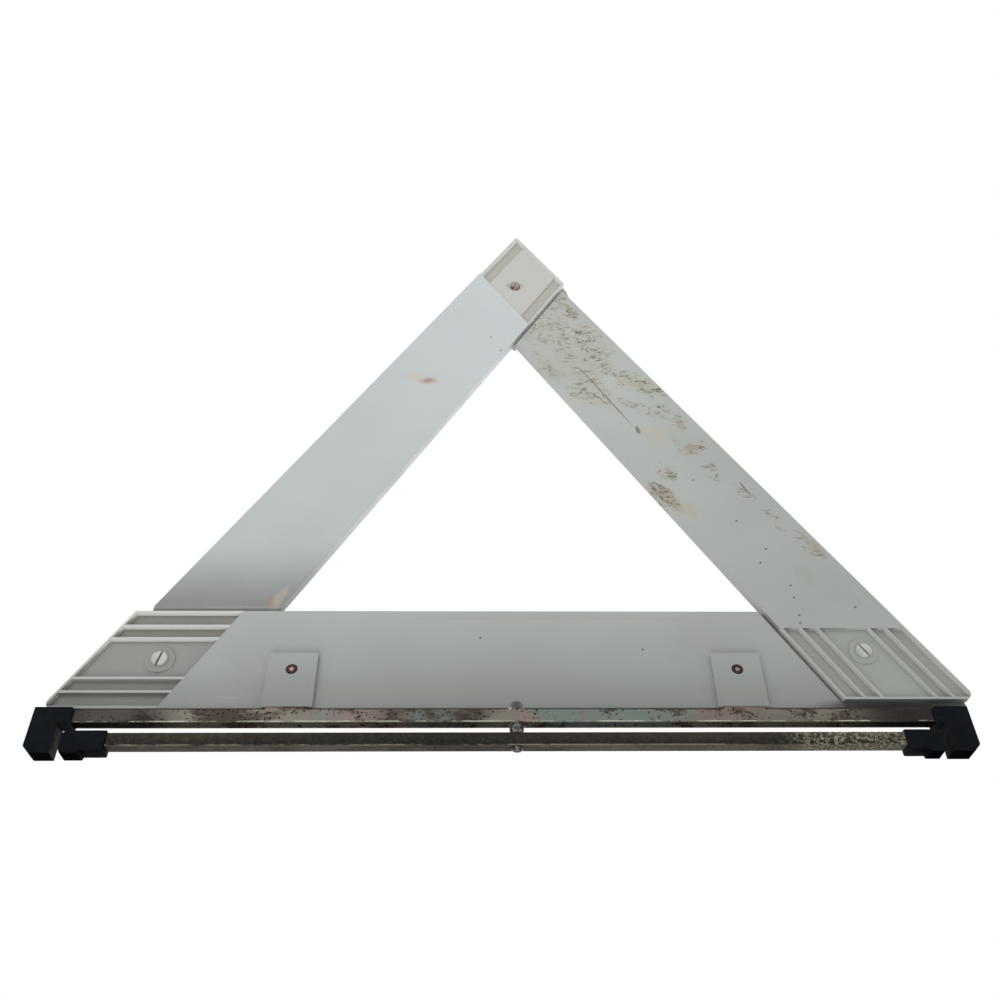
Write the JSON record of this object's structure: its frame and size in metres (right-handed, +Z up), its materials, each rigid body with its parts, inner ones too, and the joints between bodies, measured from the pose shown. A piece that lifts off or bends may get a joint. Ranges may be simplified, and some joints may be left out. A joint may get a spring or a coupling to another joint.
{
  "type": "folding warning triangle",
  "caption": "Folding roadside warning triangle: interlocked plastic arms with front reflectors on a steel stand whose lower leg swings out across it.",
  "frame": {"origin": "on the ground, under the middle of the bounding box, between the four feet", "axes": "+Z up, +X along the stand, +Y towards the reflective front, so the rear faces -Y"},
  "size_m": [0.4523, 0.0114, 0.4179],
  "materials": {
    "arm_plastic": "aged pale grey moulded plastic, satin",
    "reflector_red": "clear red prismatic reflector",
    "fluorescent_red": "fluorescent red-orange",
    "pin_plastic": "moulded snap pin",
    "stud_brass": "tarnished",
    "zinc_steel": "yellow-passivated zinc with rust specks",
    "tarnished_steel": "tarnished and rusted zinc",
    "rivet_steel": "zinc plated",
    "foot_plastic": "black moulded end cap"
  },
  "bodies": {
    "triangle": {"base_arm_housing": "arm_plastic", "left_arm_housing": "arm_plastic", "right_arm_housing": "arm_plastic", "base_reflector": "reflector_red", "left_reflector": "reflector_red", "right_reflector": "reflector_red", "base_fluorescent_strip": "fluorescent_red", "left_fluorescent_strip": "fluorescent_red", "right_fluorescent_strip": "fluorescent_red", "left_corner_pin": "pin_plastic", "right_corner_pin": "pin_plastic", "apex_stud": "stud_brass", "upper_leg": "zinc_steel", "pivot_rivet": "rivet_steel", "dished_washer": "rivet_steel", "pivot_spacer": "rivet_steel", "left_tongue_rivet": "rivet_steel", "right_tongue_rivet": "rivet_steel", "left_upper_foot": "foot_plastic", "right_upper_foot": "foot_plastic"},
    "swing_leg": {"lower_leg": "tarnished_steel", "left_lower_foot": "foot_plastic", "right_lower_foot": "foot_plastic"}
  },
  "joints": [
    {"name": "leg_swing", "type": "hinge", "parent": "triangle", "child": "swing_leg", "pos_m": [0.00205, -0.00145, 0.0073], "axis": [0, 0, 1], "range_deg": [-90, 90]}
  ]
}
